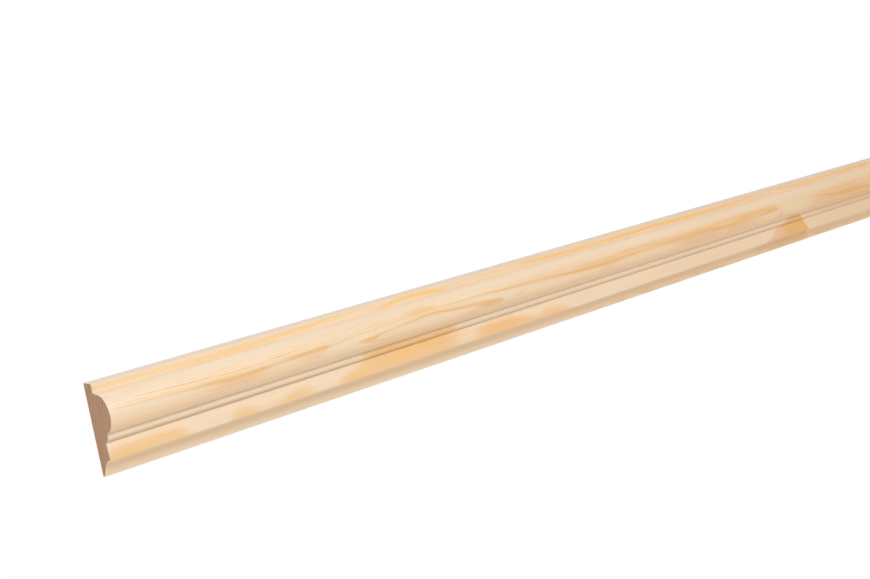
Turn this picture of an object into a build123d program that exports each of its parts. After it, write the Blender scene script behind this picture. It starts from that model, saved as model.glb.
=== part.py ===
from build123d import *

import os
from math import atan2, pi, tan

# A length of pine wall moulding, planed from one board and cut square at both ends.
# It lies on its flat back. X runs along its length, Y from its thin bottom edge to its top edge,
# and Z out of its back to the moulded face. The origin is the middle of the back.
# Sizes are in millimetres, and every thickness is measured from the back.

# The whole piece.
LENGTH = 2400.0
WIDTH = 43.0
THICKNESS = 21.0

# The square lip along the top edge, and the shelf that rises from it to the half-round.
LIP_WIDTH = 4.25
LIP_THICKNESS = 7.75
LIP_ROUNDING = 1.0
SHELF_LEAN = 0.4

# The half-round, which is a little flatter above its crown than below it.
UPPER_RADIUS = 9.25
LOWER_RADIUS = 8.1

# The quarter-round bead at the foot of the half-round. It is a little wider than it is high.
BEAD_WIDTH = 4.2
BEAD_THICKNESS = 14.2

# The broad band below the bead. It thickens a little towards its lower arris.
BAND_WIDTH = 8.5
BAND_TOP_THICKNESS = 10.6
BAND_BOTTOM_THICKNESS = 11.4
BAND_ROUNDING = 0.3

# The cove below the band, and the bevel that runs from it to the thin bottom edge.
# The root is the corner where the cove's wall and the bevel would meet.
COVE_ROOT_THICKNESS = 7.3
COVE_RADIUS = 6.9
BOTTOM_EDGE_THICKNESS = 1.7
BOTTOM_EDGE_ROUNDING = 0.4

# The cove's rounding takes no more than this share of its wall or its bevel.
ROUNDING_SHARE = 0.9


def down(distance):
    """The point of the back that is this far down from the top edge."""
    return Vector(distance, 0)


def out(point, thickness):
    """The point that is square to the back from another one, at this thickness."""
    return Vector(point.X, thickness)


# The members meet on these lines, which are given by their points of the back.
top_edge = down(0)
lip_foot = down(LIP_WIDTH)
crown_foot = down(LIP_WIDTH + SHELF_LEAN + UPPER_RADIUS)
bead_top_foot = crown_foot + down(LOWER_RADIUS)
bead_bottom_foot = bead_top_foot + down(BEAD_WIDTH)
cove_foot = bead_bottom_foot + down(BAND_WIDTH)
bottom_edge = down(WIDTH)

lip_arris = out(top_edge, LIP_THICKNESS)
lip_bottom = out(lip_foot, LIP_THICKNESS)
round_spring = out(lip_foot + down(SHELF_LEAN), THICKNESS - UPPER_RADIUS)
crown = out(crown_foot, THICKNESS)
bead_top = out(bead_top_foot, BEAD_THICKNESS)
bead_centre = out(bead_top_foot, BAND_TOP_THICKNESS)
bead_bottom = out(bead_bottom_foot, BAND_TOP_THICKNESS)
band_arris = out(cove_foot, BAND_BOTTOM_THICKNESS)
cove_root = out(cove_foot, COVE_ROOT_THICKNESS)
bottom_arris = out(bottom_edge, BOTTOM_EDGE_THICKNESS)

# The cove's radius, limited by the wall and the bevel that it runs between.
wall = band_arris - cove_root
bevel = bottom_arris - cove_root
cove_turn = pi / 2 + atan2(bevel.Y, bevel.X)
cove_room = ROUNDING_SHARE * min(wall.length, bevel.length)
cove_radius = min(COVE_RADIUS, cove_room / tan(cove_turn / 2))

# The section is drawn with x down from the top edge and y out from the back.
section_plane = Plane(origin=(LENGTH / 2, WIDTH / 2, 0), x_dir=(0, -1, 0), z_dir=(-1, 0, 0))

with BuildPart() as moulding:
    with BuildSketch(section_plane) as section:
        # The lip.
        with BuildLine():
            Polyline(top_edge, lip_arris, lip_bottom, lip_foot, close=True)
        make_face()

        # The half-round, from the shelf over the crown to the bead.
        with BuildLine():
            Polyline(bead_top_foot, lip_foot, lip_bottom, round_spring)
            JernArc(round_spring, (0, 1), UPPER_RADIUS, -90)
            fall = JernArc(crown, (1, 0), LOWER_RADIUS, -90)
            Line(fall @ 1, bead_top_foot)
        make_face()

        # The bead, which starts inside the half-round.
        with BuildLine():
            Polyline(bead_bottom_foot, crown_foot, out(crown_foot, BEAD_THICKNESS), bead_top)
            EllipticalCenterArc(
                bead_centre, BEAD_WIDTH, BEAD_THICKNESS - BAND_TOP_THICKNESS, 0, arc_size=90
            )
            Line(bead_bottom, bead_bottom_foot)
        make_face()

        # The band, the cove's wall and the bevel.
        with BuildLine():
            Polyline(
                bead_bottom_foot, bead_bottom, band_arris, cove_root, bottom_arris, bottom_edge,
                close=True,
            )
        make_face()

        # The cove, and the arrises that the plane leaves slightly rounded.
        for corner, rounding in (
            (cove_root, cove_radius),
            (lip_arris, LIP_ROUNDING),
            (band_arris, BAND_ROUNDING),
            (bottom_arris, BOTTOM_EDGE_ROUNDING),
        ):
            fillet(section.vertices().sort_by_distance(corner)[0], radius=rounding)
    extrude(amount=LENGTH)

moulding.part.label = "moulding"

os.makedirs("parts", exist_ok=True)
export_step(moulding.part, "parts/moulding.step")
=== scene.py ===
from math import acos, asin, cos, degrees, pi, radians, sin, tan

import bpy
import numpy as np
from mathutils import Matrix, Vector


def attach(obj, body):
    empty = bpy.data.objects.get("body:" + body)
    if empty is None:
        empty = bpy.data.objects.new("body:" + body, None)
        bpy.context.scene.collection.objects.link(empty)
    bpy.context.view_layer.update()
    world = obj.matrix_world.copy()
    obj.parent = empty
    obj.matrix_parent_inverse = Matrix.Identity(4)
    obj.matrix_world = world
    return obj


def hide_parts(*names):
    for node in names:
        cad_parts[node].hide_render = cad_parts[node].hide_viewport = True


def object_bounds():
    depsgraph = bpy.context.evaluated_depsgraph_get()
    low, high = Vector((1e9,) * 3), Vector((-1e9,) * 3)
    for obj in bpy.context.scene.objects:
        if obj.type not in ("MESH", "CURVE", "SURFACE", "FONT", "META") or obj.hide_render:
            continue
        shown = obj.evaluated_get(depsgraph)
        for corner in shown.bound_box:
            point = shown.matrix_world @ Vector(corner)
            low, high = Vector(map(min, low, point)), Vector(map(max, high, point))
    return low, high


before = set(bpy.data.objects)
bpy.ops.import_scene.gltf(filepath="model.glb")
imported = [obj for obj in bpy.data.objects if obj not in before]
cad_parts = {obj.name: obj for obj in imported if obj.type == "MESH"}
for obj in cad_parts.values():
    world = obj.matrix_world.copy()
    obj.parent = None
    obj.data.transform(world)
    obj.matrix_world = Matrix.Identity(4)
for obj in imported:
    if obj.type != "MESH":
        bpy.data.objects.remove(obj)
CAD_LOW, CAD_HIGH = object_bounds()

bl_info = {
    "name": "Pine wall moulding",
    "version": (1, 0, 0),
    "blender": (4, 5, 0),
    "location": "3D View > Sidebar > Moulding",
    "description": "A length of planed pine moulding on its packed frame, in a plain studio",
    "category": "Object",
}

# One millimetre, in Blender's metres.
MM = 0.001


# Sizes and colours that a user would change.
def amount_property(name, description, default, **settings):
    """A number that isn't below nothing."""
    return bpy.props.FloatProperty(
        name=name, description=description, default=default, min=0.0, **settings
    )


def size_property(name, description, millimetres):
    """A length that is shown with its unit."""
    return amount_property(
        name, description, millimetres * MM, precision=5, unit="LENGTH", subtype="DISTANCE"
    )


def linear(level):
    """A display level from 0 to 255 as linear light."""
    share = level / 255
    return share / 12.92 if share <= 0.04045 else ((share + 0.055) / 1.055) ** 2.4


def colour_property(name, description, red, green, blue):
    """A colour, given by its display levels."""
    return bpy.props.FloatVectorProperty(
        name=name, description=description, size=4, min=0.0, max=1.0, subtype="COLOR",
        default=(linear(red), linear(green), linear(blue), 1.0),
    )


class MOULDING_PG_section(bpy.types.PropertyGroup):
    """The sizes of the moulded section, measured down from the top edge and out from the back."""

    lip_width: size_property("Lip width", "Width of the square lip along the top edge", 4.25)
    lip_thickness: size_property("Lip thickness", "From the back to the front of the lip", 7.75)
    lip_rounding: size_property("Lip rounding", "Radius of the lip's top arris", 1.0)
    shelf_lean: size_property("Shelf lean", "How far the shelf leans down as it rises", 0.4)
    upper_radius: size_property("Upper radius", "Half-round's radius above its crown", 9.25)
    lower_radius: size_property("Lower radius", "Half-round's radius below its crown", 8.1)
    bead_width: size_property("Bead width", "Width of the quarter-round bead", 4.2)
    bead_thickness: size_property("Bead thickness", "From the back to the top of the bead", 14.2)
    band_width: size_property("Band width", "Width of the broad band below the bead", 8.5)
    band_top: size_property("Band top", "Thickness of the band under the bead", 10.6)
    band_bottom: size_property("Band bottom", "Thickness of the band at its lower arris", 11.4)
    band_rounding: size_property("Band rounding", "Radius of the band's lower arris", 0.3)
    cove_root: size_property("Cove root", "Thickness where the cove's wall meets the bevel", 7.3)
    cove_radius: size_property("Cove radius", "Radius of the cove under the band", 6.9)
    bottom_edge: size_property("Bottom edge", "Thickness of the thin bottom edge", 1.7)
    bottom_rounding: size_property("Bottom rounding", "Radius of the bottom edge's arris", 0.4)
    back_easing: size_property("Back easing", "Radius worn on the back's two arrises", 0.15)
    end_easing: size_property("End easing", "How far the sawn ends' arrises are worn back", 0.12)
    relief: size_property("Grain relief", "Depth of the hollows that the plane leaves", 0.03)
    steps: bpy.props.IntProperty(
        name="Steps", description="Faces along the length of the moulding", default=1000, min=8,
    )
    seed: bpy.props.IntProperty(
        name="Relief seed", description="Which of the possible reliefs is planed", default=7,
    )


class MOULDING_PG_finish(bpy.types.PropertyGroup):
    """The colours and the shine of the bare planed pine, and the colours that paint its shade,
    highlights and sheen.
    """

    pale: colour_property("Pale wood", "Earlywood between the ring lines", 243, 219, 188)
    # Also the painted highlight on the bead's top, and in part on the half-round's upper side.
    cream: colour_property("Cream wood", "The lightest stretches of earlywood", 250, 229, 201)
    # On the half-round's lower side and the bevel this is painted shade, the warmer tone of wood
    # turned from the light.
    rosy: colour_property("Rosy wood", "Slightly pinker stretches of earlywood", 247, 213, 171)
    blush: colour_property("Blush", "Pinkish wood next to a ring line", 240, 195, 157)
    # Painted sheen: the top edge's greyer tone is the white floor reflected at a grazing angle.
    edge: colour_property("Top edge", "The duller wood of the top edge", 230, 213, 195)
    # Painted shade: multiplied in more and more towards the far end, where the light falls off
    # along the moulding.
    far_shade_tint: colour_property("Deep wood", "Wood that has darkened a little in the air", 253, 248, 244)
    line: colour_property("Ring line", "Latewood where it is cut across", 238, 189, 127)
    patch: colour_property("Ring patch", "Latewood where it is cut flat", 243, 196, 131)
    knot: colour_property("Knot", "The heart of a knot", 235, 186, 110)
    lip: colour_property("Lip line", "Latewood along the lip", 248, 206, 134)
    # Painted shade: multiplied in beside the bead, in the cove and over the faces towards the far
    # end.
    shade: colour_property("Shade", "Dust and shade in the hollows, multiplied", 235, 186, 110)
    swirl: colour_property("Swirl", "The pale wood that flows round a knot", 246, 219, 176)
    # The two end colours are also multiplied in as painted shade on the half-round's lower side and
    # in the corner under the bead.
    end_pale: colour_property("End grain", "Earlywood on a sawn end", 214, 172, 138)
    end_line: colour_property("End ring", "Latewood on a sawn end", 168, 118, 84)
    roughness: amount_property(
        "Roughness", "How matt the planed face is", 0.5, max=1.0, subtype="FACTOR"
    )


class MOULDING_PG_stage(bpy.types.PropertyGroup):
    """The camera, the floor and the light."""

    lens: amount_property("Lens", "Focal length of the camera", 52.345, unit="CAMERA")
    camera_place: bpy.props.FloatVectorProperty(
        name="Camera place", description="Where the camera stands", subtype="TRANSLATION",
        unit="LENGTH", default=(-1.417866, 0.111849, 0.527343),
    )
    camera_turn: bpy.props.FloatVectorProperty(
        name="Camera turn", description="How the camera is turned", subtype="EULER",
        default=(radians(0.10304), radians(-39.33057), radians(-12.75376)),
    )
    floor_side: size_property("Floor side", "Side of the square floor", 8000.0)
    sky: amount_property("Sky", "Strength of the even light from all round", 0.4)
    key: amount_property("Key lamp", "Strength of the soft lamp from the top edge's side", 1.0)
    key_height: amount_property(
        "Key height", "How high that lamp stands over the floor", radians(55), unit="ROTATION"
    )
    near: amount_property("Near lamp", "Power of the lamp beside the near end, in watts", 2.1)
    fill: amount_property("Fill lamp", "Strength of the low soft lamp on the other side", 0.83)
    fill_height: amount_property(
        "Fill height", "How high the low lamp stands over the floor", radians(20), unit="ROTATION"
    )


# The moulded section.
def arc(centre, across, out, first, last, steps):
    """Points of an arc, with its half width, half height and first and last angles in degrees."""
    angles = np.radians(np.linspace(first, last, steps + 1))
    return [centre + Vector((across * cos(a), out * sin(a))) for a in angles]


def rounded(before, corner, after, radius, steps):
    """Points of the arc that rounds a corner between two straight runs."""
    towards = (before - corner).normalized()
    away = (after - corner).normalized()
    half = acos(towards.dot(away)) / 2
    centre = corner + (towards + away).normalized() * (radius / sin(half))
    start = corner + towards * (radius / tan(half)) - centre
    end = corner + away * (radius / tan(half)) - centre
    turn = pi - 2 * half
    points = []
    for i in range(steps + 1):
        done = i / steps * turn
        points.append(centre + (start * sin(turn - done) + end * sin(done)) / sin(turn))
    return points


def outline(size):
    """The section as points (down from the top edge, out from the back), round from the back's top
    corner over the moulded face to the back's bottom corner."""
    width = CAD_HIGH.y - CAD_LOW.y
    thickness = CAD_HIGH.z - CAD_LOW.z
    crown = size.lip_width + size.shelf_lean + size.upper_radius
    bead_top = crown + size.lower_radius
    band_top = bead_top + size.bead_width
    band_foot = band_top + size.band_width

    back_top = Vector((0, 0))
    back_bottom = Vector((width, 0))
    lip_arris = Vector((0, size.lip_thickness))
    lip_bottom = Vector((size.lip_width, size.lip_thickness))
    upper_centre = Vector((crown, thickness - size.upper_radius))
    lower_centre = Vector((crown, thickness - size.lower_radius))
    bead_centre = Vector((bead_top, size.band_top))
    bead_foot = Vector((band_top, size.band_top))
    band_arris = Vector((band_foot, size.band_bottom))
    cove_root = Vector((band_foot, size.cove_root))
    bottom_arris = Vector((width, size.bottom_edge))
    last_angle = degrees(asin((size.bead_thickness - lower_centre.y) / size.lower_radius))
    bead_rise = size.bead_thickness - size.band_top

    points = rounded(back_bottom, back_top, lip_arris, size.back_easing, 2)
    points += rounded(back_top, lip_arris, lip_bottom, size.lip_rounding, 5)
    points += [lip_bottom]
    points += arc(upper_centre, size.upper_radius, size.upper_radius, 180, 90, 15)
    points += arc(lower_centre, size.lower_radius, size.lower_radius, 90, last_angle, 12)[1:]
    points += arc(bead_centre, size.bead_width, bead_rise, 90, 0, 8)
    points += rounded(bead_foot, band_arris, cove_root, size.band_rounding, 3)
    points += rounded(band_arris, cove_root, bottom_arris, size.cove_radius, 8)
    points += rounded(cove_root, bottom_arris, back_bottom, size.bottom_rounding, 3)
    points += rounded(bottom_arris, back_bottom, back_top, size.back_easing, 2)
    return points


def filled(points, gap):
    """The same closed line with points added where two lie further apart than this."""
    more = []
    for point, following in zip(points, points[1:] + points[:1]):
        parts = max(1, round((following - point).length / gap))
        more += [point.lerp(following, i / parts) for i in range(parts)]
    return more


# Node trees.
class Wiring:
    """Short ways to add nodes to a tree."""

    def __init__(self, tree):
        self.tree = tree
        self.column = 0

    def add(self, kind, **settings):
        """A node of this kind with these settings."""
        node = self.tree.nodes.new(kind)
        node.location = (200 * (self.column // 6), -180 * (self.column % 6))
        self.column += 1
        for name, value in settings.items():
            setattr(node, name, value)
        return node

    def put(self, socket, value):
        """Links or sets one input."""
        if isinstance(value, bpy.types.NodeSocket):
            self.tree.links.new(value, socket)
        else:
            socket.default_value = value

    def feed(self, node, values, places=range(5)):
        """Links or sets inputs by their places, and returns the first output."""
        for i, value in zip(places, values):
            self.put(node.inputs[i], value)
        return node.outputs[0]

    def fill(self, node, **values):
        """Links or sets inputs by name, with _ for a space, and returns the first output if the
        node has one."""
        for name, value in values.items():
            self.put(node.inputs[name.replace("_", " ")], value)
        return node.outputs[0] if node.outputs else None

    def made(self, kind, **values):
        """The first output of a new node of this kind with these inputs."""
        return self.fill(self.add(kind), **values)

    def maths(self, operation, *values, clamp=False):
        """One sum on numbers."""
        node = self.add("ShaderNodeMath", operation=operation, use_clamp=clamp)
        return self.feed(node, values)

    def gathered(self, operation, first, others):
        """One operation that takes in several numbers, one after the other."""
        for other in others:
            first = self.maths(operation, first, other)
        return first

    def plus(self, first, *others):
        """Numbers added together."""
        return self.gathered("ADD", first, others)

    def minus(self, first, *others):
        """The first number less the others."""
        return self.gathered("SUBTRACT", first, others)

    def times(self, first, *others):
        """Numbers multiplied together."""
        return self.gathered("MULTIPLY", first, others)

    def most(self, first, *others):
        """The highest of some numbers."""
        return self.gathered("MAXIMUM", first, others)

    def centred(self, value, size):
        """Noise that swings this far to both sides of nothing."""
        return self.maths("MULTIPLY_ADD", value, 2 * size, -size)

    def vectors(self, operation, *values):
        """One sum on vectors."""
        node = self.add("ShaderNodeVectorMath", operation=operation)
        self.feed(node, values)
        return node.outputs[1 if operation == "LENGTH" else 0]

    def triple(self, x=0.0, y=0.0, z=0.0):
        """A vector from three numbers."""
        return self.feed(self.add("ShaderNodeCombineXYZ"), (x, y, z))

    def part(self, vector):
        """The three numbers of a vector."""
        node = self.add("ShaderNodeSeparateXYZ")
        self.put(node.inputs[0], vector)
        return tuple(node.outputs)

    def fade(self, value, start, end, low=0.0, high=1.0):
        """A smooth change from low at start to high at end."""
        node = self.add("ShaderNodeMapRange", interpolation_type="SMOOTHSTEP")
        return self.feed(node, (value, start, end, low, high))

    def between(self, value, start, full, still_full, end):
        """A mask that fades in from start to full, and out again from still full to end."""
        return self.times(self.fade(value, start, full), self.fade(value, end, still_full))

    def drawn(self, value, points):
        """The height of a drawn line over a value. It is level outside its points."""
        first, last = points[0][0], points[-1][0]
        heights = [h for _, h in points]
        low, high = min(heights), max(heights)
        node = self.add("ShaderNodeFloatCurve")
        line = node.mapping.curves[0]
        unit = [((p - first) / (last - first), (h - low) / (high - low)) for p, h in points]
        line.points[0].location = unit[0]
        line.points[-1].location = unit[-1]
        for place in unit[1:-1]:
            line.points.new(*place)
        node.mapping.update()
        share = self.made("ShaderNodeMapRange", Value=value, From_Min=first, From_Max=last)
        return self.maths("MULTIPLY_ADD", self.fill(node, Value=share), high - low, low)

    def noise(self, vector, detail=2.0, roughness=0.5):
        """Smooth noise from 0 to 1 on a vector, with swells about one unit apart."""
        return self.made(
            "ShaderNodeTexNoise", Vector=vector, Scale=1.0, Detail=detail, Roughness=roughness
        )

    def blend(self, share, first, second):
        """A number between two others."""
        node = self.add("ShaderNodeMix", data_type="FLOAT")
        return self.feed(node, (share, first, second), (0, 2, 3))

    def paint(self, share, first, second, how="MIX"):
        """A colour between two others."""
        node = self.add("ShaderNodeMix", data_type="RGBA", blend_type=how)
        self.feed(node, (share, first, second), (0, 6, 7))
        return node.outputs[2]


def emptied(owner):
    """The node tree of a material or a world, with nothing in it."""
    owner.use_nodes = True
    owner.node_tree.nodes.clear()
    return owner.node_tree


def new_input(tree, name, kind, default):
    """A named input of a group, and its identifier."""
    socket = tree.interface.new_socket(name, in_out="INPUT", socket_type=kind)
    if default is not None:
        socket.default_value = default
    return socket.identifier


# The first and last step of the sweep, as a multiple of the end easing, how many hollows there are
# in a metre each way, how far one seed lies from the next, and the angle of an edge that is crisp.
END_STEP = 2.5
HOLLOWS_A_METRE = (9.0, 330.0, 330.0)
SEED_STEP = 3.7
CRISP_ANGLE = radians(32)


def sweep_tree():
    """A group that sweeps a closed section along X and gives it a planed face and worn ends."""
    tree = bpy.data.node_groups.new("Swept moulding", "GeometryNodeTree")
    ids = {
        name: new_input(tree, name, "NodeSocket" + kind, default)
        for name, kind, default in (
            ("Section", "Geometry", None),
            ("Length", "Float", 2.4),
            ("Steps", "Int", 1000),
            ("End Easing", "Float", 0.12 * MM),
            ("Relief", "Float", 0.03 * MM),
            ("Seed", "Int", 7),
            ("Finish", "Material", None),
        )
    }
    tree.interface.new_socket("Geometry", in_out="OUTPUT", socket_type="NodeSocketGeometry")
    w = Wiring(tree)
    given = w.add("NodeGroupInput").outputs
    half = w.times(given["Length"], 0.5)

    # The path has one short step at each end, for the worn arris, and even steps between.
    ease = w.times(given["End Easing"], END_STEP)
    inner = w.minus(half, ease)
    count = w.plus(given["Steps"], 1.0)
    line = w.made("GeometryNodeMeshLine", Count=count)
    order = w.add("GeometryNodeInputIndex").outputs[0]
    share = w.maths("DIVIDE", w.minus(order, 1.0), w.minus(given["Steps"], 2.0))
    along = w.times(w.maths("MULTIPLY_ADD", share, 2.0, -1.0), inner)
    along = w.most(w.maths("MINIMUM", along, half), w.times(half, -1.0))
    path = w.made("GeometryNodeSetPosition", Geometry=line, Position=w.triple(along))
    path = w.made("GeometryNodeMeshToCurve", Mesh=path)

    # The section keeps its distance round the outline, for the map that the finish is baked on.
    section = w.made("GeometryNodeMeshToCurve", Mesh=given["Section"])
    girth = w.add("GeometryNodeSplineParameter").outputs["Length"]
    section = w.fill(
        w.add("GeometryNodeStoreNamedAttribute", data_type="FLOAT", domain="POINT"),
        Geometry=section, Name="girth", Value=girth,
    )
    swept = w.made("GeometryNodeCurveToMesh", Curve=path, Profile_Curve=section, Fill_Caps=True)

    # The plane leaves shallow hollows along the grain, and the saw's arrises are worn back.
    place = w.add("GeometryNodeInputPosition").outputs[0]
    x, _, z = w.part(place)
    grain = w.vectors("MULTIPLY", place, HOLLOWS_A_METRE)
    texture = w.fill(
        w.add("ShaderNodeTexNoise", noise_dimensions="4D"), Vector=grain, Scale=1.0, Detail=2.0,
        W=w.times(given["Seed"], SEED_STEP),
    )
    hollow = w.times(texture, given["Relief"], w.fade(z, 0.1 * MM, 1.5 * MM))
    last_step = w.maths("MULTIPLY_ADD", ease, -0.5, half)
    at_end = w.maths("GREATER_THAN", w.maths("ABSOLUTE", x), last_step)
    depth = w.blend(at_end, hollow, given["End Easing"])
    side = w.vectors("MULTIPLY", w.add("GeometryNodeInputNormal").outputs[0], (0.0, 1.0, 1.0))
    inwards = w.vectors("MULTIPLY", w.vectors("NORMALIZE", side), w.triple(0.0, depth, depth))
    moved = w.made(
        "GeometryNodeSetPosition", Geometry=swept,
        Offset=w.vectors("MULTIPLY", inwards, (0.0, -1.0, -1.0)),
    )

    smooth = w.made("GeometryNodeSetShadeSmooth", Geometry=moved, Shade_Smooth=True)
    angle = w.add("GeometryNodeInputMeshEdgeAngle").outputs[0]
    crisp = w.fill(
        w.add("GeometryNodeSetShadeSmooth", domain="EDGE"), Geometry=smooth,
        Selection=w.maths("GREATER_THAN", angle, CRISP_ANGLE), Shade_Smooth=False,
    )
    real = w.made("GeometryNodeRealizeInstances", Geometry=crisp)
    dressed = w.made("GeometryNodeSetMaterial", Geometry=real, Material=given["Finish"])
    w.put(w.add("NodeGroupOutput").inputs[0], dressed)
    return tree, ids


def made_plain(piece, modifier):
    """Turns the modifier's result into the piece's own mesh."""
    graph = bpy.context.evaluated_depsgraph_get()
    mesh = bpy.data.meshes.new_from_object(piece.evaluated_get(graph))
    piece.modifiers.remove(modifier)
    rough = piece.data
    piece.data = mesh
    bpy.data.meshes.remove(rough)


# The map that the finish is baked on: its strips, the gap between them, the height kept for the
# sawn ends, how far the second end lies from the first, and the share of its height that the back
# is given.
MAP_NAME = "OFBake"
MAP_STRIPS = 5
MAP_GAP = 0.004
MAP_ENDS = 0.05
MAP_END_STEP = 0.15
BACK_SHARE = 0.5


def listed(items, name, kind, width=1):
    """One value of every item, or a row of them."""
    values = np.empty(len(items) * width, kind)
    items.foreach_get(name, values)
    return values if width == 1 else values.reshape(-1, width)


def lay_map(mesh, front, whole):
    """Lays the moulding out in strips one above the other, with the two sawn ends below them."""
    places = listed(mesh.vertices, "co", float, 3)
    girth = listed(mesh.attributes["girth"].data, "value", np.float32)
    corner = listed(mesh.loops, "vertex_index", np.int32)
    first = listed(mesh.polygons, "loop_start", np.int32)
    count = listed(mesh.polygons, "loop_total", np.int32)
    face = np.repeat(np.arange(len(first)), count)

    x = places[corner, 0]
    middle = (np.add.reduceat(x, first) / count)[face]
    strip = np.floor((middle - CAD_LOW.x) / (CAD_HIGH.x - CAD_LOW.x) * MAP_STRIPS)
    strip = strip.clip(0, MAP_STRIPS - 1).astype(int)
    is_end = (count > 4)[face]

    # The last faces of the back close the outline, so their far corners lie past its start.
    round_it = girth[corner].astype(float)
    spread = np.maximum.reduceat(round_it, first) - np.minimum.reduceat(round_it, first)
    closing = (spread > whole / 2)[face] & (round_it < whole / 2)
    round_it[closing] += whole
    share = np.interp(round_it, (0, front, whole), (0, front, front + (whole - front) * BACK_SHARE))
    share /= front + (whole - front) * BACK_SHARE

    uv = np.empty((len(corner), 2))
    tall = (1 - MAP_ENDS) / MAP_STRIPS
    for i in range(MAP_STRIPS):
        mine = ~is_end & (strip == i)
        low, high = x[mine].min(), x[mine].max()
        uv[mine, 0] = MAP_GAP / 2 + (x[mine] - low) / (high - low) * (1 - MAP_GAP)
        bottom = MAP_ENDS + i * tall + MAP_GAP / 2
        uv[mine, 1] = bottom + (1 - share[mine]) * (tall - MAP_GAP)
    for i, mine in enumerate((is_end & (x < 0), is_end & (x > 0))):
        y, z = places[corner[mine], 1], places[corner[mine], 2]
        one = (MAP_ENDS - MAP_GAP) / (CAD_HIGH.z - CAD_LOW.z)
        along = (y - CAD_LOW.y) if i else (CAD_HIGH.y - y)
        uv[mine, 0] = MAP_GAP / 2 + i * MAP_END_STEP + along * one
        uv[mine, 1] = MAP_GAP / 2 + z * one
    layer = mesh.uv_layers.new(name=MAP_NAME)
    layer.uv.foreach_set("vector", uv.astype(np.float32).ravel())


# The pine. Its figure is drawn in millimetres: along from the near end, down from the top edge and
# out from the back. It is drawn as far as FIGURED and runs freely past it. The rings curve round a
# pith that lies in front of the moulded face and below it.
FIGURED = 640.0
PITH_DOWN = 59.0
PITH_OUT = 91.0
RING_WIDTH = 1.45

# The half-round's centre and the mean of its two radii.
ROUND_DOWN = 13.9
ROUND_OUT = 12.3
ROUND_RADIUS = 8.7

# How far the roughness swings from streak to streak, and how rough the sawn ends are.
ROUGHNESS_SWING = 0.14
END_ROUGHNESS = 0.85

# The main ring line along the half-round: how far its middle lies past the crown, its half width
# and its strength.
MAIN_MIDDLE = (
    (0, -2.8), (20, -2.2), (35, -1.4), (50, -0.8), (65, -0.2), (78, -0.4), (88, -0.8), (100, -1.2),
    (115, -1.5), (125, -2.2), (140, -2.8), (155, -3.4), (170, -3.9), (185, -4.4), (200, -4.2),
    (215, -4.0), (230, -3.4), (245, -2.8), (260, -2.4), (272, -1.9), (282, -1.3), (292, -0.8),
    (302, -0.7), (312, -0.4), (322, -0.4), (335, -1.0), (350, -1.3), (365, -1.4), (380, -1.1),
    (395, -1.0), (408, -1.1), (420, -0.6), (432, -0.1), (445, 0.1), (455, -0.2), (465, -0.6),
    (475, -1.1), (488, -1.7), (500, -2.7), (515, -3.4), (528, -2.6), (545, -0.8), (558, 0.4),
    (570, 1.0), (585, 1.5), (600, 2.6), (620, 6.0), (640, 10.0),
)
MAIN_HALF = (
    (0, 0.3), (35, 0.42), (50, 0.75), (65, 0.9), (78, 0.8), (86, 0.45), (93, 0.65), (113, 0.75),
    (117, 0.35), (140, 0.25), (185, 0.32), (225, 0.4), (240, 0.5), (265, 0.5), (300, 0.55),
    (320, 0.6), (345, 0.4), (360, 0.35), (385, 0.5), (420, 0.6), (435, 0.5), (450, 0.4),
    (470, 0.55), (485, 0.6), (492, 0.2), (528, 0.3), (540, 0.6), (560, 0.9), (572, 1.0),
    (585, 0.65), (600, 0.6), (640, 0.8),
)
MAIN_STRENGTH = (
    (0, 0.3), (30, 0.45), (46, 0.7), (52, 0.95), (78, 1.0), (86, 0.6), (93, 0.85), (114, 1.0),
    (118, 0.4), (150, 0.4), (185, 0.45), (215, 0.5), (238, 0.75), (255, 0.55), (270, 0.8),
    (320, 0.95), (335, 0.65), (360, 0.6), (385, 0.85), (430, 0.8), (450, 0.55), (465, 0.6),
    (475, 0.95), (486, 0.8), (493, 0.05), (525, 0.05), (534, 0.75), (555, 0.8), (572, 0.9),
    (580, 0.65), (600, 0.9), (640, 0.9),
)

# The long eye that the next ring makes where it only just reaches the surface.
EYE_TOP_MIDDLE = (
    (134, 1.0), (141, 1.3), (147, 0.5), (155, -0.3), (163, -0.8), (170, -1.5), (178, -2.0),
    (186, -1.9), (192, -1.3), (200, -0.5), (210, 0.1), (218, 1.0), (226, 1.6), (234, 1.9),
)
EYE_TOP_HALF = (
    (134, 0.1), (138, 0.8), (143, 1.0), (148, 0.5), (155, 0.32), (170, 0.36), (186, 0.38),
    (195, 0.5), (205, 0.8), (213, 1.0), (219, 1.35), (228, 1.35), (232, 0.9), (234, 0.1),
)
EYE_TOP_STRENGTH = (
    (133, 0.0), (137, 0.75), (143, 0.85), (150, 0.6), (165, 0.6), (178, 0.8), (190, 0.85),
    (200, 0.85), (212, 0.7), (220, 0.95), (231, 0.85), (234, 0.0),
)
EYE_FOOT_MIDDLE = (
    (138, 2.2), (147, 3.4), (155, 3.9), (175, 4.2), (195, 4.1), (210, 3.8), (222, 3.5), (234, 2.7),
)
EYE_FOOT_STRENGTH = (
    (137, 0.0), (144, 0.6), (155, 0.35), (175, 0.15), (195, 0.22), (210, 0.45), (225, 0.5),
    (234, 0.0),
)

# Fine lines above the main one, by their distance from it, and how they fade along the moulding.
FINE_LINES = (
    (0.9, 0.0), (1.35, 0.1), (1.6, 0.5), (1.9, 0.05), (2.7, 0.02), (2.95, 0.75), (3.3, 0.5),
    (3.6, 0.05), (4.2, 0.05), (4.42, 0.6), (4.75, 0.08), (5.5, 0.05), (5.75, 0.45),
    (6.15, 0.05), (6.8, 0.0), (7.0, 0.28), (7.4, 0.02), (8.4, 0.0), (8.6, 0.15), (9.0, 0.0),
)
FINE_STRENGTH = (
    (0, 0.65), (45, 1.1), (130, 1.1), (160, 0.6), (200, 0.6), (320, 0.6), (350, 0.3),
    (640, 0.2),
)

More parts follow.
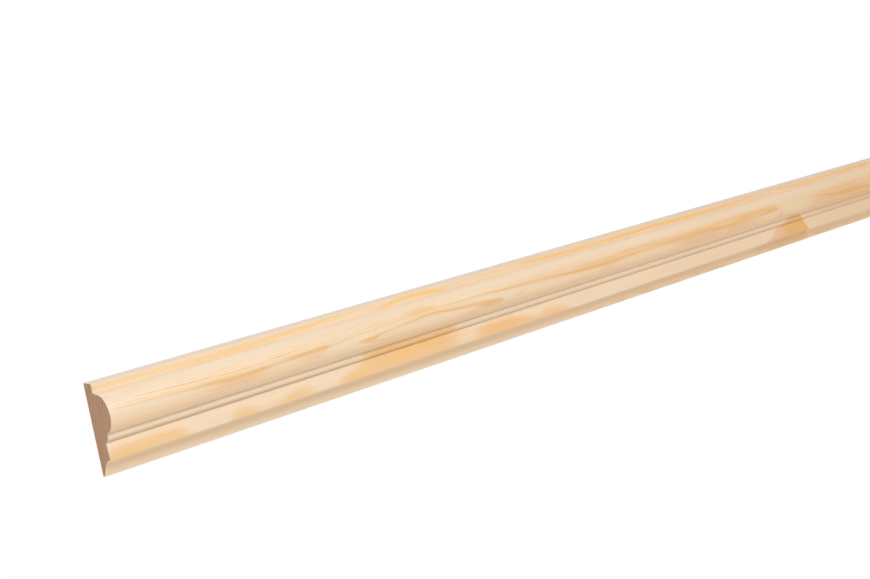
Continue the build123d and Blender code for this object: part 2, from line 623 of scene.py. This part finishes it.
# Soft warm spots on the half-round: along, past the crown, half length, half height and strength.
WARM_SPOTS = (
    (176, -5.2, 17, 2.6, 0.75), (178, -3.0, 24, 1.8, 0.55), (150, -4.6, 24, 2.0, 0.35),
    (345, -2.6, 40, 1.8, 0.4), (405, -2.2, 34, 2.4, 0.65), (445, -1.6, 26, 2.0, 0.4),
    (479, -2.4, 12, 2.6, 0.95), (300, -3.4, 60, 2.2, 0.3), (530, -3.6, 26, 2.4, 0.35),
    (575, 0.6, 46, 4.6, 0.85), (590, 6.0, 74, 8.0, 0.45), (505, -4.0, 34, 2.6, 0.3),
    (181, -1.8, 50, 2.6, 0.45),
)
PINK_SPOTS = (
    (64, 2.2, 22, 2.4, 0.75), (107, 1.0, 11, 2.6, 0.6), (52, 4.4, 6, 0.9, 0.6),
    (246, 1.5, 6, 1.2, 0.55), (316, 2.8, 9, 1.7, 0.5), (405, 1.8, 34, 4.0, 0.8),
    (445, 2.4, 24, 3.6, 0.7), (461, 2.4, 9, 2.2, 0.45), (538, 1.6, 26, 4.0, 0.55),
    (490, 3.0, 4, 4.5, 0.6), (566, 1.6, 9, 2.4, 0.55), (217, 3.2, 14, 1.6, 0.45),
)

SWIRL_SPOTS = ((510, 1.9, 22, 4.6, 1.0),)

# How warm the wood is above the main line, along the moulding, and painted shade for the light that
# falls off along it.
WARM_ALONG = (
    (0, 0.2), (50, 0.42), (130, 0.4), (165, 0.6), (200, 0.45), (260, 0.6), (300, 0.75),
    (340, 0.88), (380, 0.85), (430, 0.95), (480, 1.0), (492, 0.25), (520, 0.3), (560, 0.75),
    (640, 0.75),
)
PAINTED_FAR_SHADE = (
    (0, 0.0), (130, 0.05), (200, 0.22), (275, 0.52), (345, 0.75), (415, 1.0), (520, 1.0),
    (640, 1.0),
)

# The middle of the lip's dark line, down from the top edge, and its strength.
LIP_LINE = (
    (0, 2.2), (25, 2.4), (45, 2.9), (67, 3.1), (85, 2.9), (102, 2.6), (118, 2.2), (135, 1.7),
    (148, 1.4), (158, 3.2), (168, 2.6), (178, 2.0), (190, 2.4), (205, 3.4), (230, 3.8), (255, 1.3),
    (275, 2.1), (320, 2.8), (345, 2.7), (380, 2.4), (440, 2.7), (480, 1.6), (505, 1.4), (530, 2.8),
    (560, 2.3), (600, 2.1), (640, 2.3),
)
LIP_STRENGTH = (
    (0, 0.55), (30, 0.62), (60, 0.72), (100, 0.75), (128, 0.6), (142, 0.3), (152, 0.25), (160, 0.5),
    (176, 0.95), (190, 0.9), (203, 0.6), (212, 0.12), (245, 0.1), (262, 0.6), (290, 0.85),
    (330, 0.8), (350, 0.95), (415, 0.9), (450, 0.8), (474, 0.7), (488, 0.15), (502, 0.15),
    (515, 0.7), (545, 0.55), (575, 0.75), (640, 0.8),
)

# The flat-cut latewood: its upper edge on the band, down from the top edge, how strong it is there,
# and how strong it is where it climbs over the bead.
BAND_EDGE = (
    (0, 30.6), (8, 29.2), (20, 28.6), (32, 29.2), (38, 31.2), (44, 34.4), (50, 36.6), (57, 36.0),
    (62, 33.0), (69, 30.4), (75, 31.0), (82, 33.0), (90, 31.8), (97, 29.8), (103, 29.4),
    (109, 31.4), (114, 34.2), (119, 34.2), (126, 31.8), (134, 29.0), (142, 26.0), (150, 23.0),
    (204, 23.0), (210, 26.0), (218, 28.4), (226, 28.2), (236, 28.0), (250, 29.0), (259, 30.4),
    (266, 31.6), (273, 29.8), (281, 30.2), (290, 33.0), (300, 37.0), (640, 38.0),
)
BAND_STRENGTH = (
    (0, 0.85), (10, 1.0), (32, 0.95), (44, 0.55), (58, 0.45), (66, 0.75), (76, 0.7), (84, 0.6),
    (100, 0.85), (112, 0.6), (124, 0.7), (140, 0.95), (196, 1.0), (211, 0.25), (217, 0.3),
    (230, 1.0), (256, 0.95), (266, 0.8), (280, 0.8), (300, 0.5), (640, 0.9),
)
BEAD_STRENGTH = (
    (0, 0.0), (132, 0.0), (141, 0.35), (152, 1.0), (194, 1.0), (203, 0.6), (214, 0.0), (640, 0.0),
)

# The near and far edges of the knot, along the moulding, at each distance down from the top edge.
KNOT_NEAR = (
    (17.5, 495), (19.5, 496), (22.0, 503), (24.0, 500), (26.0, 497), (27.5, 493.5), (31.5, 490),
    (34.5, 482), (37.5, 480), (43.0, 477),
)
KNOT_FAR = (
    (17.5, 500), (19.5, 507), (21.0, 514), (22.0, 519), (24.5, 523), (27.0, 527), (33.5, 532),
    (37.0, 537), (43.0, 545),
)

# Small round knots past the drawn figure: along, down, half length and half width.
PIN_KNOTS = ((1136, 12.6, 4.0, 2.6), (1795, 30.5, 5.0, 3.0))


class PineWiring(Wiring):
    """Wiring that knows where a point of the pine lies, in millimetres: along from the near end,
    down from the top edge and out from the back."""

    def __init__(self, tree):
        super().__init__(tree)
        place = self.add("ShaderNodeTexCoord").outputs["Object"]
        corner = (-CAD_LOW.x / MM, CAD_HIGH.y / MM, 0.0)
        self.spot = self.vectors("MULTIPLY_ADD", place, (1 / MM, -1 / MM, 1 / MM), corner)
        self.along, self.down, self.out = self.part(self.spot)
        self.on_face = self.fade(self.out, 0.5, 1.5)
        self.past = self.fade(self.along, FIGURED - 70, FIGURED + 60)

        # Slow drifts along the moulding, for the stretch past the drawn figure, and a fine waver.
        self.wide = self.slow(190.0, 4.2, 1.7)
        self.brisk = self.slow(62.0, 9.1, 3.3)
        self.waver = self.plus(self.drift(0.16, 46, 5.0), self.drift(0.1, 13, 2.2, 5.0))
        self.pin, self.pin_rim, self.pushed = small_knots(self)

        # The half-round is followed by the distance over it, in millimetres past its crown.
        turn = self.maths(
            "ARCTAN2", self.minus(self.down, ROUND_DOWN), self.minus(self.out, ROUND_OUT)
        )
        self.over = self.maths("MULTIPLY_ADD", turn, ROUND_RADIUS, self.times(self.waver, 1.6))
        self.on_round = self.times(
            self.between(self.down, 4.9, 6.2, 20.5, 22.6), self.fade(self.out, 11.0, 12.5)
        )
        free = self.plus(self.centred(self.wide, 16.0), self.centred(self.brisk, 3.0), -0.5)
        self.middle = self.follow(MAIN_MIDDLE, self.minus(free, self.pushed))

    def slow(self, size, *place):
        """Noise that changes only along the moulding, by its size in millimetres."""
        return self.noise(self.triple(self.maths("DIVIDE", self.along, size), *place), detail=1.0)

    def grain(self, length, cross, shift=0.0, **settings):
        """Noise drawn out along the grain, by its sizes in millimetres."""
        scales = (1 / length, 1 / cross, 1 / cross)
        stretched = self.vectors("MULTIPLY_ADD", self.spot, scales, (shift, shift, shift))
        return self.noise(stretched, **settings)

    def drift(self, size, length, cross, shift=0.0):
        """Grain noise that swings this far to both sides of nothing."""
        return self.centred(self.grain(length, cross, shift), size)

    def follow(self, points, free):
        """A drawn line along the moulding, and another value past the drawn figure."""
        return self.blend(self.past, self.drawn(self.along, points), free)

    def stroke(self, middle, half, strength):
        """A line over the half-round, a little softer on its upper side."""
        off = self.minus(self.over, middle)
        upper = self.fade(self.plus(off, half), -0.55, 0.1)
        lower = self.fade(self.minus(off, half), 0.3, -0.1)
        return self.times(upper, lower, strength)

    def spots(self, places):
        """Soft spots over the half-round. Where they overlap, the stronger one counts."""
        plane = self.triple(self.maths("MULTIPLY_ADD", self.waver, 14.0, self.along), self.over)
        total = 0.0
        for along_middle, over_middle, half_length, half_height, share in places:
            size = (1 / half_length, 1 / half_height, 0.0)
            middle = (-along_middle / half_length, -over_middle / half_height, 0.0)
            reach = self.vectors("LENGTH", self.vectors("MULTIPLY_ADD", plane, size, middle))
            total = self.most(self.fade(reach, 1.1, 0.25, 0.0, share), total)
        return self.times(total, self.on_round)


def small_knots(w):
    """The small knots, their rims, and how far they push the lines aside."""
    pin, pin_rim, pushed = 0.0, 0.0, 0.0
    for pin_along, pin_down, half_length, half_width in PIN_KNOTS:
        off = w.triple(
            w.maths("MULTIPLY_ADD", w.along, 1 / half_length, -pin_along / half_length),
            w.maths("MULTIPLY_ADD", w.down, 1 / half_width, -pin_down / half_width),
        )
        reach = w.plus(w.vectors("LENGTH", off), w.drift(0.22, 7, 3.5, 71.0))
        pin = w.most(w.fade(reach, 1.25, 0.8), pin)
        ripple = w.maths("MULTIPLY_ADD", w.maths("SINE", w.times(reach, 15.0)), 0.12, 0.2)
        ripple = w.times(ripple, w.fade(reach, 1.05, 0.7))
        pin_rim = w.most(w.plus(w.between(reach, 0.55, 0.92, 0.98, 1.12), ripple), pin_rim)
        wide_off = w.vectors("LENGTH", w.vectors("MULTIPLY", off, (0.22, 0.42, 0.0)))
        pushed = w.most(w.fade(wide_off, 1.4, 0.1, 0.0, 1.7), pushed)
    pin = w.times(pin, w.fade(w.out, 3.0, 5.0))
    pin_rim = w.times(pin_rim, w.fade(w.out, 3.0, 5.0, 0.0, 0.7))
    return pin, pin_rim, pushed


def crown_lines(w):
    """The main ring line over the half-round, the eye under it and the fine lines above it."""
    half = w.follow(MAIN_HALF, w.fade(w.brisk, 0.3, 0.7, 0.3, 0.9))
    strength = w.follow(MAIN_STRENGTH, w.fade(w.brisk, 0.25, 0.7, 0.35, 1.0))
    breaks = w.fade(w.grain(38, 2.4, 11.0), 0.3, 0.62, 0.62, 1.0)
    main = w.times(w.stroke(w.middle, half, strength), w.plus(breaks, 0.12))
    eye_top = w.stroke(
        *[w.drawn(w.along, points) for points in (EYE_TOP_MIDDLE, EYE_TOP_HALF, EYE_TOP_STRENGTH)]
    )
    foot_strength = w.drawn(w.along, EYE_FOOT_STRENGTH)
    eye_foot = w.stroke(w.drawn(w.along, EYE_FOOT_MIDDLE), 0.3, foot_strength)
    uneven = w.plus(w.drift(0.35, 24, 1.6, 37.0), w.drift(0.18, 6, 0.8, 43.0))
    fine = w.drawn(w.plus(w.minus(w.middle, w.over), uneven), FINE_LINES)
    fine_strength = w.follow(FINE_STRENGTH, w.fade(w.wide, 0.3, 0.7, 0.9, 0.3))
    fine_breaks = w.fade(w.grain(18, 1.2, 47.0), 0.32, 0.62, 0.35, 1.15)
    fine = w.times(fine, fine_strength, fine_breaks)
    return w.times(w.most(main, eye_top, eye_foot, fine), w.on_round)


def warm_wood(w):
    """Warm wood over the half-round, in spots and above the main line."""
    past_main = w.minus(w.over, w.middle)
    free = w.times(w.fade(w.grain(120, 30, 31.0), 0.45, 0.7, 0.0, 0.7), w.past)
    free = w.times(free, w.fade(w.maths("ABSOLUTE", w.plus(past_main, 1.4)), 3.2, 0.6))
    above = w.times(w.fade(past_main, 2.4, 0.2), w.fade(w.over, -7.8, -2.6))
    above = w.times(above, w.follow(WARM_ALONG, 0.4))
    above = w.times(above, w.fade(w.grain(44, 3.5, 19.0), 0.3, 0.65, 0.55, 1.0))
    return w.most(w.spots(WARM_SPOTS), w.times(w.most(free, above), w.on_round))


def lip_line(w):
    """The line on the lip, sharp on its lower side and paler at the near end."""
    middle = w.follow(LIP_LINE, w.plus(w.centred(w.brisk, 1.6), 2.4))
    strength = w.follow(LIP_STRENGTH, w.fade(w.wide, 0.35, 0.6, 0.2, 0.9))
    strength = w.times(strength, w.fade(w.along, 10, 110, 0.72, 1.0))
    below = w.minus(w.plus(w.down, w.drift(0.5, 20, 3, 2.0)), middle)
    on_lip = w.times(w.fade(w.down, 5.4, 4.3), w.fade(w.out, 3.5, 6.5))
    return w.times(w.between(below, -2.0, 0.2, 0.6, 1.5), strength, on_lip)


def flat_cut(w):
    """Latewood that the flat band cuts along, and where it climbs over the bead."""
    free = w.plus(w.maths("MULTIPLY_ADD", w.wide, -34.0, 49.0), w.centred(w.brisk, 5.0))
    inside = w.plus(w.down, w.drift(1.8, 16, 4.0, 7.0))
    inside = w.minus(inside, w.follow(BAND_EDGE, free))
    band = w.times(w.fade(inside, -1.8, 2.8), w.fade(w.down, 25.9, 26.3))
    band = w.times(band, w.follow(BAND_STRENGTH, 0.9))
    climb = w.drawn(w.plus(w.along, w.drift(10.0, 16, 3.0, 27.0)), BEAD_STRENGTH)
    climb = w.times(climb, w.between(w.down, 17.6, 24.4, 26.2, 26.6))
    both = w.times(w.most(band, climb), w.fade(w.out, 7.0, 9.5))
    return w.times(both, w.fade(w.grain(26, 6, 17.0), 0.2, 0.7, 0.78, 1.0))


def bottom_flecks(w):
    """Warm flecks near the thin bottom edge."""
    place = w.times(w.fade(w.down, 39.0, 41.8), w.fade(w.along, 290, 330, 0.08, 0.8))
    return w.times(place, w.fade(w.grain(15, 3.0, 53.0), 0.4, 0.62))


def large_knot(w):
    """The knot, and how dark it is. It is darker towards its far edge."""
    lean = w.plus(w.along, w.centred(w.grain(6, 6, 13.0, detail=1.0), 2.2))
    near = w.minus(lean, w.drawn(w.down, KNOT_NEAR))
    far = w.minus(w.drawn(w.down, KNOT_FAR), lean)
    knot = w.times(
        w.fade(near, -2.0, 4.0), w.fade(far, -1.5, 1.5), w.fade(w.down, 38.5, 35.0, 0.6, 1.0),
        w.fade(w.down, 17.2, 19.6), w.fade(w.down, 20.5, 23.5, 0.55, 1.0),
    )
    depth = w.maths("DIVIDE", near, w.plus(near, w.most(far, 0.1)))
    return knot, w.fade(depth, 0.1, 0.55)


def rings(w):
    """How far a point lies through its own ring."""
    from_pith = w.triple(0.0, w.minus(w.down, PITH_DOWN), w.minus(w.out, PITH_OUT))
    ring = w.plus(
        w.vectors("LENGTH", from_pith), w.centred(w.wide, 3.5), w.centred(w.brisk, 1.2), w.waver,
        w.pushed,
    )
    uneven = w.centred(w.noise(w.triple(w.times(ring, 0.6))), 0.7)
    return w.maths("FRACT", w.plus(w.maths("DIVIDE", ring, RING_WIDTH), uneven))


def plain_lines(w, step):
    """Ring lines on the other faces, stronger on the back than on the bevel and the top edge."""
    on_bevel = w.times(w.fade(w.down, 35.5, 38.0), w.fade(w.along, 330, 420, 0.1, 0.35))
    on_back = w.fade(w.out, 0.6, 0.1, 0.0, 0.8)
    on_top_edge = w.fade(w.down, 0.5, 0.1, 0.0, 0.22)
    free = w.times(w.past, w.fade(w.grain(90, 9.0, 61.0), 0.35, 0.65, 0.15, 0.6), w.on_face)
    line = w.times(w.fade(step, 0.0, 0.16), w.fade(step, 0.75, 0.12))
    return w.times(line, w.most(on_bevel, on_back, on_top_edge, free))


def earlywood(w, finish):
    """The colour of the pale, cream and rosy stretches between the lines, with a painted highlight,
    painted shade and a painted sheen laid on them.
    """
    along, down = w.along, w.down
    cloud = w.grain(75, 7.0, 23.0, detail=3.0)
    # Cream on the half-round's upper side, stronger near the near end: paler wood, and in part a
    # painted highlight where the light falls on that side.
    cream = w.times(w.between(down, 6.0, 9.5, 11.5, 14.5), w.fade(along, 260, 90, 0.35, 0.7))
    clouded = w.times(w.fade(cloud, 0.35, 0.68), w.fade(along, 430, 580, 0.35, 0.1))
    # A painted highlight: cream on the bead's top, fading past the knot.
    bead = w.times(w.between(down, 22.1, 22.5, 23.2, 24.6), w.fade(along, 480, 530, 1.0, 0.15))
    bead = w.times(bead, w.on_face)
    colour = w.paint(w.most(w.plus(cream, clouded), bead), finish.pale, finish.cream)
    # Rosy on the half-round's lower side and the bevel, which turn from the light: painted shade,
    # the warmer tone of shaded wood. A little is laid on the bead's top too.
    lower = w.times(w.fade(w.over, -0.6, 3.6), w.fade(down, 22.2, 21.4))
    lower = w.times(lower, w.fade(cloud, 0.72, 0.4, 0.7, 1.0))
    bevel = w.times(w.fade(down, 35.0, 36.5), w.fade(down, 42.9, 39.5, 0.15, 1.0))
    rosy = w.most(w.times(w.most(lower, bevel), w.on_face), w.times(bead, 0.38))
    colour = w.paint(rosy, colour, finish.rosy)
    # A painted sheen: the top edge is greyed where it reflects the white floor at a grazing angle.
    return w.paint(w.fade(down, 0.9, 0.2), colour, finish.edge)


def shaded(w, knot):
    """Painted shade beside the bead and in the cove, and painted shade that dulls the faces near
    the knot and past it, towards the far end.
    """
    along, down = w.along, w.down
    under_bead = w.times(
        w.between(down, 23.9, 25.5, 26.3, 26.7), w.fade(along, 120, 260, 0.85, 0.5),
        w.fade(along, 490, 540, 1.0, 0.2),
    )
    over_bead = w.times(w.between(down, 21.2, 21.9, 22.1, 22.35), 0.1)
    corners = w.times(w.most(under_bead, over_bead), w.fade(knot, 0.3, 1.0, 1.0, 0.25))
    cove = w.times(w.fade(down, 35.2, 36.4), w.fade(down, 38.8, 36.8, 0.0, 0.4))
    far_bead = w.fade(along, 520, 560, 0.0, w.fade(along, 700, 900, 0.9, 0.3))
    bead = w.times(w.between(down, 22.0, 22.4, 25.2, 26.2), far_bead)
    band = w.between(down, 26.2, 27.0, 34.5, 34.9)
    bevel = w.between(down, 37.0, 38.5, 41.4, 42.4)
    far_faces = w.fade(along, 490, 570, 0.0, w.fade(along, 700, 900, 0.45, 0.1))
    faces = w.times(w.most(band, bevel, w.on_round), far_faces)
    return w.times(w.most(corners, cove, bead, faces), w.on_face)


def moulded_pine(finish):
    """The bare planed pine, with painted shade, highlights and sheen, in Object coordinates."""
    material = bpy.data.materials.new("Planed pine")
    w = PineWiring(emptied(material))
    step = rings(w)
    knot, knot_depth = large_knot(w)
    streak = w.grain(60, 0.9, 41.0, detail=3.0, roughness=0.6)
    fibre = w.grain(9.0, 0.16, 3.0, detail=2.0, roughness=0.65)
    lines = w.most(crown_lines(w), plain_lines(w, step))
    # Painted shade on the half-round's lower side, which turns from the light, multiplied with the
    # end grain's colour.
    round_foot = w.times(w.between(w.down, 17.0, 18.4, 19.4, 21.2), w.on_face, 0.1)
    # Painted shade in the corner under the bead, near the near end, multiplied with the end ring's
    # colour.
    near_corner = w.times(w.between(w.down, 24.5, 25.4, 26.2, 26.5), w.on_face)
    near_corner = w.times(near_corner, w.fade(w.along, 90, 190, 0.1, 0.0))

    # The wood between the lines, and what is laid over it.
    colour = earlywood(w, finish)
    for share, tint in (
        (w.spots(PINK_SPOTS), finish.blush),
        (w.spots(SWIRL_SPOTS), finish.swirl),
        (warm_wood(w), finish.patch),
        (w.most(w.times(flat_cut(w), 0.95), bottom_flecks(w)), finish.patch),
        (w.maths("MULTIPLY", lines, 0.95, clamp=True), finish.line),
        (lip_line(w), finish.lip),
        (w.times(knot, 0.9), w.paint(knot_depth, finish.blush, finish.knot)),
        (w.times(w.pin, 0.85), finish.knot),
    ):
        colour = w.paint(share, colour, tint)

    # What darkens it: the small knots' rims, painted shade towards the far end, painted shade in
    # the hollows, on the far faces and on the half-round's lower side, and fine streaks along the
    # grain.
    for share, tint in (
        (w.pin_rim, finish.end_line),
        # Painted shade that grows towards the far end, for the light that falls off along the
        # moulding.
        (w.follow(PAINTED_FAR_SHADE, w.fade(w.wide, 0.3, 0.65)), finish.far_shade_tint),
        (w.times(shaded(w, knot), 0.3), finish.shade),
        (round_foot, finish.end_pale),
        (near_corner, finish.end_line),
    ):
        colour = w.paint(share, colour, tint, "MULTIPLY")
    streaks = w.plus(w.centred(streak, 0.06), w.centred(fibre, 0.06), 1.0)
    colour = w.paint(1.0, colour, w.triple(streaks, streaks, streaks), "MULTIPLY")

    # Sawn ends, with every ring showing.
    half_length = (CAD_HIGH.x - CAD_LOW.x) / MM / 2
    from_middle = w.maths("ABSOLUTE", w.minus(w.along, half_length))
    at_end = w.maths("COMPARE", from_middle, half_length, 0.02)
    end_ring = w.times(w.fade(step, 0.0, 0.12), w.fade(step, 0.9, 0.15))
    pores = w.noise(w.vectors("MULTIPLY", w.spot, (1.0, 6.0, 6.0)), detail=3.0)
    end_share = w.maths("MULTIPLY_ADD", end_ring, 0.62, w.centred(pores, 0.22), clamp=True)
    colour = w.paint(at_end, colour, w.paint(end_share, finish.end_pale, finish.end_line))

    swing = ROUGHNESS_SWING
    rough = w.maths("MULTIPLY_ADD", streak, swing, finish.roughness - swing / 2)
    height = w.plus(w.times(fibre, 0.5), w.times(lines, 0.6), w.times(pores, at_end, 2.0))
    bump = w.made("ShaderNodeBump", Strength=0.5, Distance=0.06 * MM, Height=height)
    shine = w.made(
        "ShaderNodeBsdfPrincipled", Base_Color=colour, Normal=bump, Specular_IOR_Level=0.5,
        Roughness=w.blend(at_end, rough, END_ROUGHNESS),
    )
    w.made("ShaderNodeOutputMaterial", Surface=shine)
    return material


def seen_or_mirrored(w):
    """1 where the camera or a glossy surface looks, and 0 for the light that falls on the piece."""
    path = w.add("ShaderNodeLightPath").outputs
    seen = w.plus(path["Is Camera Ray"], path["Is Glossy Ray"])
    return w.maths("ADD", seen, path["Is Transmission Ray"], clamp=True)


# How bright the floor is for the light that it throws back, and, as it is seen, its glow and how
# much of the shadow it keeps.
FLOOR_GREY = 0.86
FLOOR_GLOW = 0.88
FLOOR_SHADE = 0.16

# How wide the far lamps look from the floor, and the near lamp's sides and distance, in metres.
KEY_SPREAD = radians(12)
FILL_SPREAD = radians(40)
NEAR_SIDES = (0.5, 0.19)
NEAR_DISTANCE = 0.9
NEAR_ALONG = -1.25


def grey(level):
    """A grey colour."""
    return level, level, level, 1.0


def studio_floor():
    """A pale floor that looks white and keeps the shadow that falls on it."""
    material = bpy.data.materials.new("Studio floor")
    w = Wiring(emptied(material))
    matt = w.made("ShaderNodeBsdfDiffuse", Color=grey(FLOOR_GREY))
    faint = w.made("ShaderNodeBsdfDiffuse", Color=grey(FLOOR_SHADE))
    glow = w.made("ShaderNodeEmission", Strength=FLOOR_GLOW)
    white = w.feed(w.add("ShaderNodeAddShader"), (faint, glow))
    both = w.feed(w.add("ShaderNodeMixShader"), (seen_or_mirrored(w), matt, white))
    w.made("ShaderNodeOutputMaterial", Surface=both)
    return material


def studio_sky(strength):
    """A world that lights evenly and looks white."""
    world = bpy.data.worlds.new("Studio")
    w = Wiring(emptied(world))
    shine = w.blend(seen_or_mirrored(w), strength, 1.0)
    glow = w.made("ShaderNodeBackground", Color=grey(1.0), Strength=shine)
    w.made("ShaderNodeOutputWorld", Surface=glow)
    return world


def linked(name, data):
    """A new object in the scene."""
    item = bpy.data.objects.new(name, data)
    bpy.context.scene.collection.objects.link(item)
    return item


def add_lamp(name, strength, spread, towards):
    """A soft lamp so far off that it lights the whole length alike."""
    light = bpy.data.lights.new(name, "SUN")
    light.energy = strength
    light.angle = spread
    lamp = linked(name, light)
    lamp.rotation_euler = towards.to_track_quat("Z", "Y").to_euler()


class MOULDING_OT_stage(bpy.types.Operator):
    """Sets up the camera, the pale floor and the soft light"""

    bl_idname = "moulding.stage"
    bl_label = "Set up the studio"

    def execute(self, context):
        stage = context.scene.moulding_stage
        scene = context.scene
        scene.view_settings.view_transform = "Standard"

        lens = bpy.data.cameras.new("Camera")
        lens.lens = stage.lens
        lens.sensor_width = 36.0
        lens.clip_start = 0.01
        camera = linked("Camera", lens)
        camera.location = stage.camera_place
        camera.rotation_euler = stage.camera_turn
        scene.camera = camera

        half = stage.floor_side / 2
        mesh = bpy.data.meshes.new("Floor")
        corners = [(-half, -half, 0.0), (half, -half, 0.0), (half, half, 0.0), (-half, half, 0.0)]
        mesh.from_pydata(corners, [], [(0, 1, 2, 3)])
        mesh.materials.append(studio_floor())
        linked("Floor", mesh)

        scene.world = studio_sky(stage.sky)
        above = Vector((0.0, cos(stage.key_height), sin(stage.key_height)))
        add_lamp("Key lamp", stage.key, KEY_SPREAD, above)
        near = bpy.data.lights.new("Near lamp", "AREA")
        near.shape = "RECTANGLE"
        near.size, near.size_y = NEAR_SIDES
        near.energy = stage.near
        lamp = linked("Near lamp", near)
        lamp.location = above * NEAR_DISTANCE + Vector((NEAR_ALONG, 0.0, 0.0))
        lamp.rotation_euler = (stage.key_height - pi / 2, 0.0, 0.0)
        low = Vector((0.0, -cos(stage.fill_height), sin(stage.fill_height)))
        add_lamp("Fill lamp", stage.fill, FILL_SPREAD, low)
        return {"FINISHED"}


class MOULDING_OT_sweep(bpy.types.Operator):
    """Sweeps the moulded section along its length and gives it the pine finish"""

    bl_idname = "moulding.sweep"
    bl_label = "Sweep the moulding"

    def execute(self, context):
        size = context.scene.moulding_section
        line = outline(size)
        whole = sum((b - a).length for a, b in zip(line, line[1:] + line[:1]))
        front = whole - (line[-1] - line[0]).length
        points = filled(line, 2.0 * MM)

        section = bpy.data.meshes.new("Section")
        top = CAD_HIGH.y
        ends = [(i, (i + 1) % len(points)) for i in range(len(points))]
        section.from_pydata([(p.x - top, -p.y, 0.0) for p in points], ends, [])
        piece = linked("pine_moulding", section)

        tree, ids = sweep_tree()
        modifier = piece.modifiers.new("Sweep", "NODES")
        modifier.node_group = tree
        modifier[ids["Length"]] = CAD_HIGH.x - CAD_LOW.x
        modifier[ids["Steps"]] = size.steps
        modifier[ids["End Easing"]] = size.end_easing
        modifier[ids["Relief"]] = size.relief
        modifier[ids["Seed"]] = size.seed
        modifier[ids["Finish"]] = moulded_pine(context.scene.moulding_finish)
        made_plain(piece, modifier)
        if len(piece.data.polygons) < size.steps:
            raise RuntimeError("the sweep made no moulding")
        lay_map(piece.data, front, whole)

        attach(piece, "root")
        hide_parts("moulding")
        return {"FINISHED"}


class MOULDING_PT_panel(bpy.types.Panel):
    """Lists the steps and their sizes"""

    bl_idname = "MOULDING_PT_panel"
    bl_label = "Pine wall moulding"
    bl_space_type = "VIEW_3D"
    bl_region_type = "UI"
    bl_category = "Moulding"

    def draw(self, context):
        scene = context.scene
        for operator, groups in (
            (MOULDING_OT_stage, (scene.moulding_stage,)),
            (MOULDING_OT_sweep, (scene.moulding_section, scene.moulding_finish)),
        ):
            self.layout.operator(operator.bl_idname)
            for group in groups:
                for name in type(group).__annotations__:
                    self.layout.prop(group, name)


GROUPS = {
    "moulding_section": MOULDING_PG_section,
    "moulding_finish": MOULDING_PG_finish,
    "moulding_stage": MOULDING_PG_stage,
}
CLASSES = (*GROUPS.values(), MOULDING_OT_stage, MOULDING_OT_sweep, MOULDING_PT_panel)


def register():
    for kind in CLASSES:
        bpy.utils.register_class(kind)
    for name, kind in GROUPS.items():
        setattr(bpy.types.Scene, name, bpy.props.PointerProperty(type=kind))


def unregister():
    for name in GROUPS:
        delattr(bpy.types.Scene, name)
    for kind in reversed(CLASSES):
        bpy.utils.unregister_class(kind)


def main():
    register()
    bpy.ops.moulding.stage()
    bpy.ops.moulding.sweep()
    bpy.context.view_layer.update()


if __name__ == "__main__":
    main()
